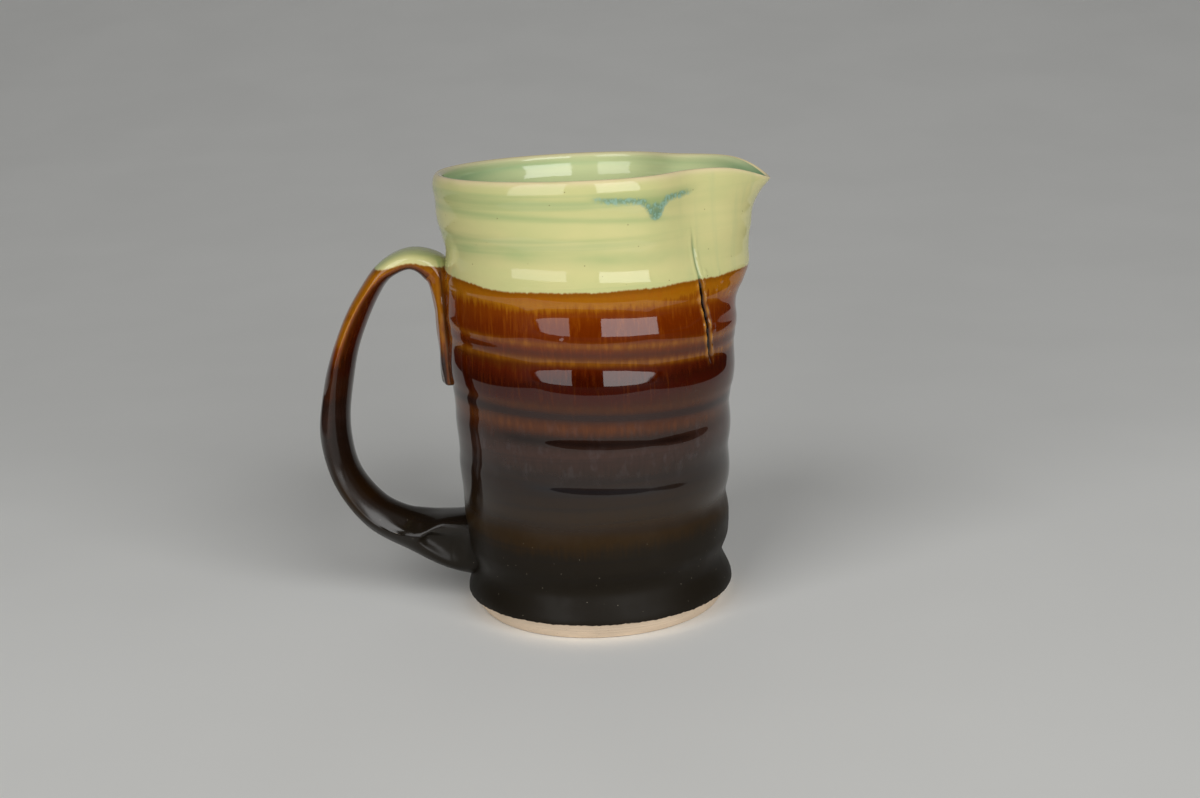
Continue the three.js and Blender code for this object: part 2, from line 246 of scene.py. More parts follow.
# %% Grid helpers
def make_mesh(name, points, faces, values=None, borders=()):
    """A smooth mesh from points in millimetres, with values on its points and sharp border loops."""
    mesh = bpy.data.meshes.new(name)
    mesh.from_pydata((points * MM).tolist(), [], faces)
    mesh.polygons.foreach_set("use_smooth", np.ones(len(mesh.polygons), bool))
    for key, numbers in (values or {}).items():
        attribute = mesh.attributes.new(key, "FLOAT", "POINT")
        attribute.data.foreach_set("value", np.asarray(numbers, np.float32).ravel())
    loop_of = np.full(len(points), -1)
    for number, loop in enumerate(borders):
        loop_of[loop] = number
    ends = np.empty(2 * len(mesh.edges), np.int32)
    mesh.edges.foreach_get("vertices", ends)
    first, second = loop_of[ends.reshape(-1, 2)].T
    mesh.edges.foreach_set("use_edge_sharp", (first >= 0) & (first == second))
    mesh.update()
    piece = bpy.data.objects.new(name, mesh)
    bpy.context.scene.collection.objects.link(piece)
    print(f"{name}: {len(mesh.vertices)} points, {len(mesh.polygons)} faces")
    return piece


def grid_faces(rows, columns, wrap_rows):
    """Quads of a grid whose columns wrap round, and whose rows wrap too if asked."""
    row = np.arange(rows if wrap_rows else rows - 1)
    column = np.arange(columns)
    r, c = np.meshgrid(row, column, indexing="ij")
    up = (r + 1) % rows
    right = (c + 1) % columns
    quads = np.stack([r * columns + c, r * columns + right, up * columns + right, up * columns + c], axis=-1)
    return quads.reshape(-1, 4).tolist()


CREASE_ANGLE = math.radians(-40)


def turn_angles(count):
    """Angles round the wall, packed closer where the crease runs down."""
    fine = np.linspace(-math.pi, math.pi, 20001)
    density = 1 + 3.0 * bell(fine - CREASE_ANGLE, math.radians(9))
    travelled = np.concatenate([[0], np.cumsum((density[1:] + density[:-1]) / 2)])
    return np.interp(np.arange(count) / count * travelled[-1], travelled, fine)


WALL_ANGLES = turn_angles(520)
INSIDE_ANGLES = np.linspace(-math.pi, math.pi, 240, endpoint=False)
print("closest and widest step round the wall in degrees:",
      [round(math.degrees(v), 2) for v in (np.diff(WALL_ANGLES).min(), np.diff(WALL_ANGLES).max())])

# %% [markdown]
# ## Marks in the wall
#
# Where the lip was pinched the clay tore a little, and the fired tear runs down from the collar
# as a black crack with raised edges. Near it the glaze blistered. These marks are modelled as
# shape, because a bump in the material has no edge when seen from the side. Glaze is thin on sharp
# ridges and deep in hollows, so the same heights also tell the glaze where to be pale or dark.

# %% Crease, blisters, glaze lines and painted dark reflections of the wall
CREASE_TOP = 111.0
CREASE_FOOT = 72.0
CREASE_HEAD = -43
CREASE_LEAN = 0.05
CREASE_CURVE = 0.0034
CRACK_HALF = 0.5
CRACK_DEPTH = 1.0
EDGE_AWAY = 1.1
EDGE_HALF = 0.5
EDGE_RISE = 0.35
# Blisters: degrees round the wall, height, size and rise.
BLISTERS = [
    (-38.2, 98.0, 0.7, 0.22), (-29.4, 94.9, 0.6, 0.2), (-25.5, 92.4, 0.8, 0.25),
    (-23.2, 91.0, 0.5, 0.2), (-32.5, 93.2, 0.5, 0.16), (-100.2, 83.9, 0.5, 0.22),
    (-35.0, 82.5, 0.6, 0.2), (-31.0, 97.2, 0.45, 0.15),
]
FLUSH_ANGLE = math.radians(-62)
FLUSH_HEIGHT = 118.6
DRIP_LENGTH = 4.4
DRIP_HALF = 2.9
DROP_ROUND = 1.7
# Lines of thin and of pooled glaze along the rings: height, half width and share.
THIN_LINES = [(92.8, 1.1, 0.9), (82.4, 0.9, 0.7), (77.8, 0.9, 0.8), (65.5, 0.9, 0.15), (59.8, 1.7, 0.8)]
POOL_LINES = [(32.0, 1.2, 0.4), (46.0, 0.9, 0.4), (63.2, 1.0, 1.5), (80.0, 0.7, 0.4), (105.2, 1.9, 0.8),
              (115.0, 0.8, 0.8), (119.0, 1.4, 0.35)]
# Painted dark reflections of the steep ring slopes, laid on as dark glaze colour across the front:
# height, half width, and the degrees between which they run.
UPPER_PAINTED_REFLECTION = (56.1, 1.5, -138, -36)
LOWER_PAINTED_REFLECTION = (42.9, 1.0, -128, -54)
PAINTED_BAND_FADE_IN = 18
PAINTED_BAND_FADE_OUT = 22
DIP_RISE = 2.7
DIP_RISE_ENDS = (108, 172)


def dip_rise(angle):
    """How much higher the celadon ends towards the handle."""
    return DIP_RISE * ease(np.abs(np.degrees(angle)), *DIP_RISE_ENDS)


def from_crease(angle, z):
    """Distance round the wall from the crease, and how open it is at that height."""
    fall = CREASE_TOP - z
    waver = 0.35 * np.sin(z / 1.9) * bell(z - 84, 9)
    middle = np.radians(CREASE_HEAD + CREASE_LEAN * fall + CREASE_CURVE * fall**2 + waver)
    opening = ease(z, CREASE_FOOT, CREASE_FOOT + 8)
    narrowing = 1 - 0.72 * ease(z, 93, 98)
    closing = 1 - ease(z, 104, CREASE_TOP)
    return (angle - middle) * wall_radius(z), opening * narrowing * closing


def wall_marks(angle, z):
    """Outward shape of the crease and blisters, and the shares of crease core and crease edge."""
    aside, open_share = from_crease(angle, z)
    core = bell(aside, CRACK_HALF) * open_share
    torn = 0.65 + 0.35 * np.sin(z * 1.7 + 3 * np.sign(aside))
    edge = bell(np.abs(aside) - EDGE_AWAY, EDGE_HALF) * open_share * torn
    shape = EDGE_RISE * edge - CRACK_DEPTH * core
    for degrees, height, size, rise in BLISTERS:
        away = np.hypot((angle - math.radians(degrees)) * wall_radius(z), z - height)
        shape = shape + rise * bell(away, size)
    return shape, core, edge


def glaze_lines(lines, angle, z):
    """Share of the thin or pooled lines that follow the rings."""
    place = ring_place(angle, z)
    return np.clip(sum(share * bell(place - height, width) for height, width, share in lines), 0, 1)


def painted_reflection_band(painted_reflection, angle, z):
    """Share of a painted dark reflection band, which runs across the front only."""
    height, width, start, end = painted_reflection
    turned = np.degrees(angle)
    ends = ease(turned, start, start + PAINTED_BAND_FADE_IN) * (1 - ease(turned, end - PAINTED_BAND_FADE_OUT, end))
    return bell(ring_place(angle, z) - height, width) * ends


def rutile_flush(angle, z):
    """Shares of the blue border of the flush, of the dark end of its one drip and of the green above it."""
    across = (angle - FLUSH_ANGLE) * wall_radius(z)
    drip = bell(across, DRIP_HALF)
    line = FLUSH_HEIGHT + 0.9 * (np.degrees(angle - FLUSH_ANGLE) / 22) ** 2
    steep = DRIP_LENGTH * drip * 2 * across / DRIP_HALF**2
    above = (z - line + DRIP_LENGTH * drip) / np.hypot(1, steep)
    reach = ease(across, -22, -12) * (1 - ease(across, 10, 19))
    border = bell(above - 0.5, 1.3) * (1 - ease(z - line, 0.6, 2.6)) * reach
    from_drop = np.hypot(across, z - FLUSH_HEIGHT + DRIP_LENGTH - DROP_ROUND)
    border = np.maximum(border, bell(from_drop - DROP_ROUND, 0.8))
    drop = bell(from_drop, DROP_ROUND)
    halo = ease(above, -0.4, 0.6) * (1 - ease(z - line, -0.5, 3.6)) * reach
    return border, drop, halo


print("crease from", CREASE_FOOT, "to", CREASE_TOP, "mm, blisters:", len(BLISTERS))

# %% [markdown]
# ## Coats on the wall
#
# The potter dipped the biscuit-fired jug in celadon from the top and in iron glaze from below.
# Each coat is a band of the same skin, so neighbouring bands meet edge to edge. The celadon ends
# on the crown of the rim, where the lining starts. The rim is rounded more outside than inside.

# %% Profiles of the skin
RIM_HALF = RIM_THICKNESS / 2
RIM_OUTSIDE = 4.0
RIM_INSIDE = 1.2
CROWN = math.radians(112)
BACK_STRIDE = 6
INSIDE_RING = 0.3
INSIDE_PITCH = 10


def outside_profile(low, high, step):
    """Rows of the outside face as [radius, height, how ringed] between two heights."""
    z = np.linspace(low, high, max(2, int(round((high - low) / step)) + 1))
    return np.stack([wall_radius(z), z, np.ones_like(z)], axis=-1)


def rim_profile(start, end, steps):
    """Rows over the rounded rim between two angles of its section, from outside to inside."""
    a = np.linspace(start, end, steps)
    depth = np.where(a < math.pi / 2, RIM_OUTSIDE, RIM_INSIDE)
    z = RIM_HEIGHT - depth * (1 - np.sin(a))
    radius = wall_radius(z) - RIM_HALF * (1 - np.cos(a))
    return np.stack([radius, z, (a < math.pi / 2) * 1.0], axis=-1)


def inside_radius(z):
    """Glazed inside radius, with soft finger rings low down and a flare under the rim."""
    turns = 2 * math.pi * (z - 119.0) / INSIDE_PITCH
    ring = INSIDE_RING * np.sin(turns) * ease(z, 24, 40) * (1 - ease(z, 104, 112))
    flare = 0.55 * ease(z, 118.6, 122.2) - 0.4 * ease(z, 112, 120) - 0.15 * ease(z, 122.2, 123.8)
    return wall_radius(np.maximum(z, LOWER_HEIGHT)) - wall_thickness(z) + ring + flare


def inside_profile(high, low, step):
    """Rows of the inside face between two heights, downwards."""
    z = np.linspace(high, low, max(2, int(round((high - low) / step)) + 1))
    return np.stack([inside_radius(z), z, np.zeros_like(z)], axis=-1)


def backed(face, thickness):
    """The face's rows, then rows behind it in the other order, which close the coat."""
    along = np.gradient(face[:, :2], axis=0)
    along /= np.linalg.norm(along, axis=1, keepdims=True)
    behind = np.stack([-along[:, 1], along[:, 0]], axis=-1)
    keep = np.unique(np.concatenate([np.arange(0, len(face), BACK_STRIDE), [len(face) - 1]]))
    back = face[keep].copy()
    back[:, :2] += behind[keep] * thickness
    return np.vstack([face, back[::-1]])


def row_loops(rows, columns):
    """Point numbers of some rows of a grid."""
    return [row * columns + np.arange(columns) for row in rows]


def foot_edge(angle):
    """Uneven lower edge of the dark glaze, in millimetres."""
    return (0.14 * np.sin(3 * angle + 0.7) + 0.05 * np.sin(17 * angle) + 0.05 * np.sin(41 * angle + 2)
            + 0.05 * np.sin(93 * angle + 1) + 0.05 * np.sin(151 * angle))


def coat_piece(name, face, angles, thickness=COAT):
    """A closed coat on the wall, with the values its glaze reads."""
    rows = backed(face, thickness)
    radius, z, ringed = (rows[:, k, None] for k in range(3))
    angle = angles[None, :]
    z = z + foot_edge(angle) * bell(z - FOOT_HEIGHT, 1.6)
    marks, core, edge = wall_marks(angle, z)
    is_face = (np.arange(len(rows)) < len(face))[:, None] * ringed
    points = on_wall(radius + is_face * marks, angle, z, ringed)
    flush, drop, halo = rutile_flush(angle, z)
    values = {
        "level": z - dip_rise(angle) * ease(z, 82, 95),
        "above_dip": z - COLLAR_LINE - dip_rise(angle),
        "thin": glaze_lines(THIN_LINES, angle, z),
        # The pooled lines also carry the lower painted dark reflection band; the next value is the upper one.
        "pool_and_painted_dark": glaze_lines(POOL_LINES, angle, z) + 1.4 * painted_reflection_band(LOWER_PAINTED_REFLECTION, angle, z),
        "painted_reflection": painted_reflection_band(UPPER_PAINTED_REFLECTION, angle, z),
        "satin": 0.12 * (1 - ease(z, 38, 46)) + 0.88 * (1 - ease(z, 25, 39)),
        "crack": core * ringed,
        "crack_edge": edge * ringed,
        "flush": flush * ringed,
        "drop": drop * ringed,
        "halo": halo * ringed,
        "rim": bell(RIM_HEIGHT - z, 1.1),
        "towards_lip": ease(np.abs(angle), math.radians(95), math.radians(25)) + 0 * z,
    }
    faces = grid_faces(len(rows), len(angles), True)
    return make_mesh(name, points.reshape(-1, 3), faces, values, row_loops((0, len(face) - 1), len(angles)))


print("rim:", RIM_THICKNESS, "mm thick, rounded", RIM_OUTSIDE, "mm outside,", RIM_INSIDE, "mm inside")

# %% Make the wall's coats
ROW_STEP = 0.4
celadon_face = np.vstack([
    outside_profile(COLLAR_LINE, RIM_HEIGHT - RIM_OUTSIDE, ROW_STEP)[:-1],
    rim_profile(0, CROWN, 18),
])
celadon = coat_piece("celadon_coat", celadon_face, WALL_ANGLES)
amber = coat_piece("amber_coat", outside_profile(BLACK_LINE, COLLAR_LINE, ROW_STEP), WALL_ANGLES)
dark = coat_piece("dark_coat", outside_profile(FOOT_HEIGHT, BLACK_LINE, ROW_STEP), WALL_ANGLES)

# %% [markdown]
# ## The lining
#
# The inside is glazed by pouring glaze in and out again. A cup could be cut out of the clay with a
# Boolean modifier, but its rows would not follow the rim. So the rows run from the crown of the rim
# down the inside wall, round the corner and over the floor. They lie closer together near the rim,
# where the gloss shows every change of slope.

# %% Make the lining
CORNER_ROUND = 8.0
FINE_LINING = 108.0
FINE_STEP = 0.5
COARSE_STEP = 1.2
# Radius of the small eye that is left in the middle of the round grids.
EYE = 0.6


def lining():
    """The inside coat: rim, wall, rounded corner and floor, as a closed cup."""
    low = FLOOR + CORNER_ROUND
    rim_rows = rim_profile(CROWN, math.pi, 8)
    upper_rows = inside_profile(RIM_HEIGHT - RIM_INSIDE, FINE_LINING, FINE_STEP)[1:]
    lower_rows = inside_profile(FINE_LINING, low, COARSE_STEP)[1:]
    a = np.linspace(0, math.pi / 2, 12)[1:]
    corner = inside_radius(np.array(low)) - CORNER_ROUND * (1 - np.cos(a))
    corner_rows = np.stack([corner, low - CORNER_ROUND * np.sin(a), 0 * a], axis=-1)
    floor_radius = np.linspace(corner[-1], EYE, 14)[1:]
    floor_rows = np.stack([floor_radius, np.full_like(floor_radius, FLOOR), 0 * floor_radius], axis=-1)
    face = np.vstack([rim_rows, upper_rows, lower_rows, corner_rows, floor_rows])
    rows = backed(face, COAT)
    radius = rows[:, 0, None]
    angle = INSIDE_ANGLES[None, :]
    z = rows[:, 1, None] + 0 * angle
    points = on_wall(radius, angle, z, 0.0)
    at_lip = bell(angle, math.radians(20))
    # Painted shade on the inside wall towards the handle, stored with the pooled glaze of the lip channel.
    at_handle = bell(math.pi - np.abs(angle), math.radians(48))
    values = {"level": z, "rim": bell(RIM_HEIGHT - z, 1.1) * (1 - at_lip),
              "pool_and_painted_dark": at_lip * ease(z, 108, 119) + 0.9 * at_handle}
    faces = grid_faces(len(rows), len(INSIDE_ANGLES), True)
    return make_mesh("lining_coat", points.reshape(-1, 3), faces, values, row_loops((0,), len(INSIDE_ANGLES)))


lining_coat = lining()

# %% [markdown]
# ## The clay
#
# Bare clay shows only on the bevel of the foot and under the base. The clay is still one whole
# piece behind the coats, as on the real jug, and its foot has the fine lines that a trimming tool
# leaves.

# %% Make the clay body
BEHIND = COAT * 0.9


def clay_body():
    """The clay wall, base and foot as one closed shape behind the coats."""
    bevel = np.linspace(0, 1, 22)
    bevel_radius = mix(BASE_RADIUS, FOOT_RADIUS - BEHIND, bevel)
    bevel_radius = bevel_radius + 0.06 * np.sin(bevel * 34) * np.sin(math.pi * bevel)
    bevel_rows = np.stack([bevel_radius, FOOT_HEIGHT * bevel], axis=-1)
    z_out = np.linspace(FOOT_HEIGHT, RIM_HEIGHT - RIM_OUTSIDE, 130)[1:]
    out_rows = np.stack([wall_radius(z_out) - BEHIND, z_out], axis=-1)
    rim = rim_profile(0, math.pi, 9)[1:-1, :2]
    rim_middle = wall_radius(rim[:, 1]) - RIM_HALF
    rim_rows = np.stack([rim_middle + (rim[:, 0] - rim_middle) * 0.6, rim[:, 1] - BEHIND], axis=-1)
    z_in = np.linspace(RIM_HEIGHT - RIM_INSIDE, FLOOR + CORNER_ROUND, 60)
    in_rows = np.stack([inside_radius(z_in) + BEHIND, z_in], axis=-1)
    corner = in_rows[-1, 0]
    floor_rows = np.array([[corner - 2.5, FLOOR + 2], [corner - 8, FLOOR - BEHIND], [EYE, FLOOR - BEHIND]])
    base_radius = [EYE, BASE_RADIUS * 0.5, BASE_RADIUS - 1.2, BASE_RADIUS - 0.4]
    base_rows = np.stack([base_radius, [0, 0, 0, 0.05]], axis=-1)
    rows = np.vstack([base_rows, bevel_rows[1:], out_rows, rim_rows, in_rows, floor_rows])
    outside = np.zeros(len(rows))
    first = len(base_rows) + len(bevel_rows) - 2
    outside[first:first + 1 + len(out_rows)] = 1
    angle = INSIDE_ANGLES[None, :]
    z = rows[:, 1, None] + 0 * angle
    marks, _, _ = wall_marks(angle, z)
    radius = rows[:, 0, None] + np.minimum(marks, 0) * outside[:, None]
    points = on_wall(radius, angle, z, outside[:, None])
    return make_mesh("stoneware_body", points.reshape(-1, 3), grid_faces(len(rows), len(INSIDE_ANGLES), True))


clay = clay_body()

# %% [markdown]
# ## The handle
#
# A pulled strap is drawn from a lump with wet hands, so its section changes all the way along. It
# is lofted here: a curve gives its middle, and an oval section of changing size is swept along it.
# A Curve object with a bevel could do the oval, but not the crumpled tail or the thumb-pressed end.

# %% Sizes of the strap
ARCH_HEIGHT = RIM_HEIGHT - 23.6
JOINT_HEIGHT = 18.0
HANDLE_REACH = 35.2
TAIL_LENGTH = 35.0
STRAP_WIDTH = 16.0
TAIL_WIDTH = 9.0
TAIL_PROUD = 3.5
TAIL_SINK = 2.25
TAIL_THICKNESS = TAIL_PROUD + TAIL_SINK
TAIL_STANDOFF = (TAIL_PROUD - TAIL_SINK) / 2
ROOT_THICKNESS = 8.3
ARCH_THICKNESS = 5.3
GRIP_THICKNESS = 8.6
JOINT_THICKNESS = 19.0
JOINT_DEPTH = 4.0
# Shares of the reach, of the rise and of the joint's extra thickness along the loop.
LOOP = [(0.23, 1, 0), (0.44, 0.97, 0), (0.63, 0.875, 0), (0.83, 0.717, 0), (0.95, 0.55, 0), (1, 0.4, 0),
        (0.94, 0.25, 0), (0.73, 0.12, 0.17), (0.48, 0.056, 0.32), (0.34, 0.041, 0.39), (0.22, 0.018, 0.66)]


def strap_stations():
    """Places along the strap: distance out from the wall, height, thickness and width."""
    tail_shares = [
        (1, 0, TAIL_THICKNESS, TAIL_WIDTH),
        (0.7, 0, TAIL_THICKNESS, mix(TAIL_WIDTH, STRAP_WIDTH, 0.7)),
        (0.37, 0, TAIL_THICKNESS, STRAP_WIDTH),
        (0.11, TAIL_THICKNESS / 6, ROOT_THICKNESS, STRAP_WIDTH),
    ]
    stations = [(TAIL_STANDOFF + out, ARCH_HEIGHT - TAIL_LENGTH * share, thick, wide)
                for share, out, thick, wide in tail_shares]
    for out, up, swelling in LOOP:
        grip = mix(ARCH_THICKNESS, GRIP_THICKNESS, ease(1 - up, 0, 0.6))
        thick = mix(grip, JOINT_THICKNESS, swelling)
        stations.append((out * HANDLE_REACH, mix(JOINT_HEIGHT, ARCH_HEIGHT, up), thick, STRAP_WIDTH))
    stations.append((0, JOINT_HEIGHT, JOINT_THICKNESS, STRAP_WIDTH))
    stations.append((-JOINT_DEPTH, JOINT_HEIGHT, JOINT_THICKNESS, STRAP_WIDTH))
    return np.array(stations, float)


def smooth_through(points, t):
    """A smooth curve through points, at shares t of the way along them."""
    ends = np.vstack([2 * points[0] - points[1], points, 2 * points[-1] - points[-2]])
    place = np.clip(t, 0, 1) * (len(points) - 1)
    i = np.minimum(place.astype(int), len(points) - 2)
    w = (place - i)[:, None]
    p0, p1, p2, p3 = (ends[i + k] for k in range(4))
    gap = [np.maximum(np.sqrt(np.linalg.norm(b - a, axis=1, keepdims=True)), 1e-4)
           for a, b in ((p0, p1), (p1, p2), (p2, p3))]
    m1 = ((p1 - p0) / gap[0] - (p2 - p0) / (gap[0] + gap[1]) + (p2 - p1) / gap[1]) * gap[1]
    m2 = ((p2 - p1) / gap[1] - (p3 - p1) / (gap[1] + gap[2]) + (p3 - p2) / gap[2]) * gap[1]
    h1, h2 = 2 * w**3 - 3 * w**2 + 1, w**3 - 2 * w**2 + w
    return h1 * p1 + h2 * m1 + (1 - h1) * p2 + (w**3 - w**2) * m2


def evened_through(points, t, reach):
    """The smooth curve through points, averaged over a reach before and after t."""
    return sum(smooth_through(points, t + reach * share) for share in (-1, -0.5, 0, 0.5, 1)) / 5


stations = strap_stations()
middle_points = np.stack([-wall_radius(stations[:, 1]) - stations[:, 0], stations[:, 1]], axis=-1)
print("strap stations:", len(stations))

# %% The strap's surface
HOLLOW_REACH = 15.5
HOLLOW_HALF = 5.6
HOLLOW_DEPTH = 2.2
FAR_HOLLOW = 0.4
NEAR_BEVEL = 3.8
RIDGE_RISE = 0.8
# Millimetres off the wall over which the bevel, ridge and hollow of the lower joint start and stop.
BEVEL_START, BEVEL_STOP = (8, 15.5), (16, 26)
RIDGE_STOP = (16, 28)
HOLLOW_START, HOLLOW_STOP = (0, 5), (11, HOLLOW_REACH)
# How far the ridge and the hollow lie from the strap's middle, near the wall and off it.
RIDGE_LINE = (-6.4, -0.4)
RIDGE_HALF = 1.4
HOLLOW_LINE = (1.2, -0.2)
# Shares of the way along the strap over which it changes from one part to the next.
TAIL_STOP = (0.131, 0.188)
ARCH_START, ARCH_STOP = (0.17, 0.21), (0.29, 0.36)
LOOP_START, LOOP_STOP = (0.29, 0.394), (0.69, 0.8)
LOWER_START = (0.6, 0.68)
EVEN_START = (0.68, 0.78)
EVEN_REACH = 0.055
SIZE_REACH = 0.02
TINY_STEP = 1e-4


def unit_rows(rows):
    """Each row as a direction of length 1."""
    return rows / np.linalg.norm(rows, axis=1, keepdims=True)


def strap_surface(t, around, grow=0.0):
    """Points of the strap at places along it (rows) and angles round its section (columns)."""
    even = ease(t, *EVEN_START)[:, None]
    centre = mix(smooth_through(middle_points, t), evened_through(middle_points, t, EVEN_REACH), even)
    along, evenly = (
        unit_rows(smooth_through(middle_points, t + step) - smooth_through(middle_points, t - step))
        for step in (TINY_STEP, EVEN_REACH))
    along = unit_rows(mix(along, evenly, even))
    section = stations[:, 2:4]
    sizes = mix(evened_through(section, t, SIZE_REACH), evened_through(section, t, EVEN_REACH), even)
    thick, wide = (column[:, None] for column in sizes.T)
    outward = np.stack([along[:, 1], -along[:, 0]], axis=-1)
    off_wall = (-centre[:, 0] - wall_radius(centre[:, 1]))[:, None]
    in_tail = (1 - ease(t, *TAIL_STOP))[:, None]
    in_loop = (ease(t, *LOOP_START) * (1 - ease(t, *LOOP_STOP)))[:, None]
    in_arch = (ease(t, *ARCH_START) * (1 - ease(t, *ARCH_STOP)))[:, None]
    in_lower_half = ease(t, *LOWER_START)[:, None]
    at_joint = in_lower_half * (1 - ease(off_wall, 9, 20))
    c, s = np.cos(around)[None, :], np.sin(around)[None, :]
    boxy = 0.92 - 0.22 * in_arch - 0.25 * at_joint
    side = np.sign(c) * np.abs(c) ** boxy * (wide / 2 + grow)
    face = np.sign(s) * np.abs(s) ** (boxy + 0.5 * in_loop) * (thick / 2 + grow)
    face = face + 0.13 * thick * c**2 * in_loop

    near = np.maximum(-c, 0)
    sloped = in_lower_half * ease(off_wall, *BEVEL_START)
    bevel = NEAR_BEVEL * sloped * (1 - 0.8 * ease(off_wall, *BEVEL_STOP))
    face = face + bevel * ((1 - c) / 2) ** 2 * ease(-s, 0, 0.5)
    ridge_line = mix(*RIDGE_LINE, sloped)
    ridge = RIDGE_RISE * in_lower_half * (1 - ease(off_wall, *RIDGE_STOP))
    ridge = ridge * bell(face - ridge_line, RIDGE_HALF) * near
    pressed = in_lower_half * ease(off_wall, *HOLLOW_START) * (1 - ease(off_wall, *HOLLOW_STOP))
    half = HOLLOW_HALF * np.clip(1 - off_wall / HOLLOW_REACH, 0.06, 1) ** 0.8
    hollow_line = mix(*HOLLOW_LINE, ease(off_wall, 3, 11))
    hollow = HOLLOW_DEPTH * pressed * np.exp(-np.abs((face - hollow_line) / half) ** 3) * np.abs(c) ** 0.5
    hollow = hollow * ease(face - ridge_line, 0.6, 2.0) * np.where(c < 0, 1, FAR_HOLLOW)
    side = side - np.sign(c) * (hollow - ridge)

    height = centre[:, 1][:, None]
    folds = np.sin(4 * around[None, :] + 0.9 * np.sin(height / 4.3)) * bell(np.abs(c) - 0.8, 0.5)
    wrinkle = in_tail * (0.34 * folds + 0.12 * np.sin(height / 1.9 + 2 * around[None, :]))
    wobble = 0.1 * np.sin(height / 6.3 + 3 * around[None, :]) + 0.05 * np.sin(height / 2.7 + 1.1)
    face = face + (wrinkle + wobble) * s
    side = side + (wrinkle + wobble) * c
    x = centre[:, 0][:, None] + face * outward[:, 0][:, None]
    z = centre[:, 1][:, None] + face * outward[:, 1][:, None]
    return np.stack([x, side + 0 * x, z], axis=-1)


STRAP_AROUND = np.linspace(2 * math.pi, 0, 96, endpoint=False)
ARCH_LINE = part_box("handle_celadon_glaze")[0].z / MM
TIP_ROUND = 1.6
# Heights on the wall whose colours the tail, the loop's outer face and its inner face take; the inner
# face's lower height is painted shade between the handle and the wall. The drop is how much lower the
# tail's far end takes its colour, as painted shade.
TAIL_LEVEL = 91.8
LOOP_LEVEL = 93.2
INNER_LEVEL = 76
TIP_SHADE_DROP = 41


def rounded_tip(rows):
    """Rows of a strap with its first end closed by a rounded tip."""
    first = rows[0]
    middle = first.mean(axis=0)
    drop = np.array([0, 0, -TIP_ROUND])
    turns = np.linspace(0.02, math.pi / 2, 9)[:-1]
    tip = np.stack([middle + (first - middle) * math.sin(a) + drop * math.cos(a) for a in turns])
    return np.vstack([tip, rows])


def strap_sleeve(name, start, end, steps, tip=False):
    """A closed sleeve of glaze on a length of the strap, between two shares of the way along it."""
    face = strap_surface(np.linspace(start, end, steps), STRAP_AROUND)
    back = strap_surface(np.linspace(start, end, steps // 4), STRAP_AROUND, -COAT)
    if tip:
        face, back = rounded_tip(face), rounded_tip(back)
    rows = np.vstack([face, back[::-1]])
    z = rows[..., 2]
    c, outer = np.cos(STRAP_AROUND)[None, :], np.sin(STRAP_AROUND)[None, :]
    off_wall = np.hypot(rows[..., 0], rows[..., 1]) - wall_radius(z)
    under = ease(-outer, 0.05, 0.5)
    if tip:
        # The tail's lower end, away from the wall, takes the colour of a lower height: painted shade.
        shaded_tip_end = (1 - ease(z, 72, 79)) * ease(off_wall, 1.5, 2.2)
        level = TAIL_LEVEL - TIP_SHADE_DROP * shaded_tip_end
        thin = 0.6 * bell(off_wall - 2.6, 1.0)
        dark_share = satin = 0 * z
    else:
        # The inner face, which faces the wall, takes the colours of lower heights: painted shade between the
        # handle and the wall.
        outer_level = mix(z - 4, LOOP_LEVEL, ease(z, 70, 80))
        inner_level = mix(z - 6, INNER_LEVEL, ease(z, 60, 90))
        level = mix(outer_level, inner_level, under)
        # Darker share: darker low on the outer face, and painted shade on the inner face.
        outer_deep = 0.25 * (1 - ease(z, 64, 76))
        dark_share = mix(outer_deep, mix(0.8, 0.3, ease(z, 56, 88)), under) * ease(z, 20, 34)
        thin = 0.35 * np.abs(c) ** 6 * ease(z, 60, 84)
        satin = 0.7 * (1 - ease(z, 38, 66)) * (1 - 0.5 * under)
    # Painted shade in the crevice where the strap lies against the wall, and on the top face of the arch.
    crevice_shade = bell(off_wall - 1.0, 0.45) * ease(z, 40, 60)
    arch_top_shade = ease(outer, 0.5, 0.9) * ease(z, 97, 100)
    values = {
        "level": level,
        "dark_share": dark_share,
        "above_dip": z - ARCH_LINE - 0.6 - 1.5 * bell(rows[..., 0] + 48.5, 5),
        "thin": thin,
        "pool_and_painted_dark": np.clip(0.8 * arch_top_shade + crevice_shade, 0, 1),
        "rim": 0.5 * ease(-outer, -0.6, 0.6) * ease(z, 97, 99),
        "satin": satin,
    }
    count = len(STRAP_AROUND)
    borders = row_loops((len(face) - 1,) if tip else (0, len(face) - 1), count)
    return make_mesh(name, rows.reshape(-1, 3), grid_faces(len(rows), count, True), values, borders)


def strap_clay():
    """The strap's clay inside its sleeves, closed at both ends."""
    rows = strap_surface(np.linspace(0, 1, 90), STRAP_AROUND[::3], -1.3 * COAT)
    count = rows.shape[1]
    points = np.vstack([rows.reshape(-1, 3), rows[0].mean(axis=0), rows[-1].mean(axis=0)])
    faces = grid_faces(len(rows), count, False)
    first, last = len(points) - 2, len(points) - 1
    for c in range(count):
        right = (c + 1) % count
        faces.append([first, right, c])
        faces.append([last, (len(rows) - 1) * count + c, (len(rows) - 1) * count + right])
    return make_mesh("strap_clay", points, faces)


def share_at(height, low, high):
    """Share along the strap, between two shares, where its middle passes a height."""
    t = np.linspace(low, high, 2000)
    z = smooth_through(middle_points, t)[:, 1]
    return float(t[np.argmin(np.abs(z - height))])


print("points round the strap:", len(STRAP_AROUND), "and its celadon ends at", round(ARCH_LINE, 1), "mm")

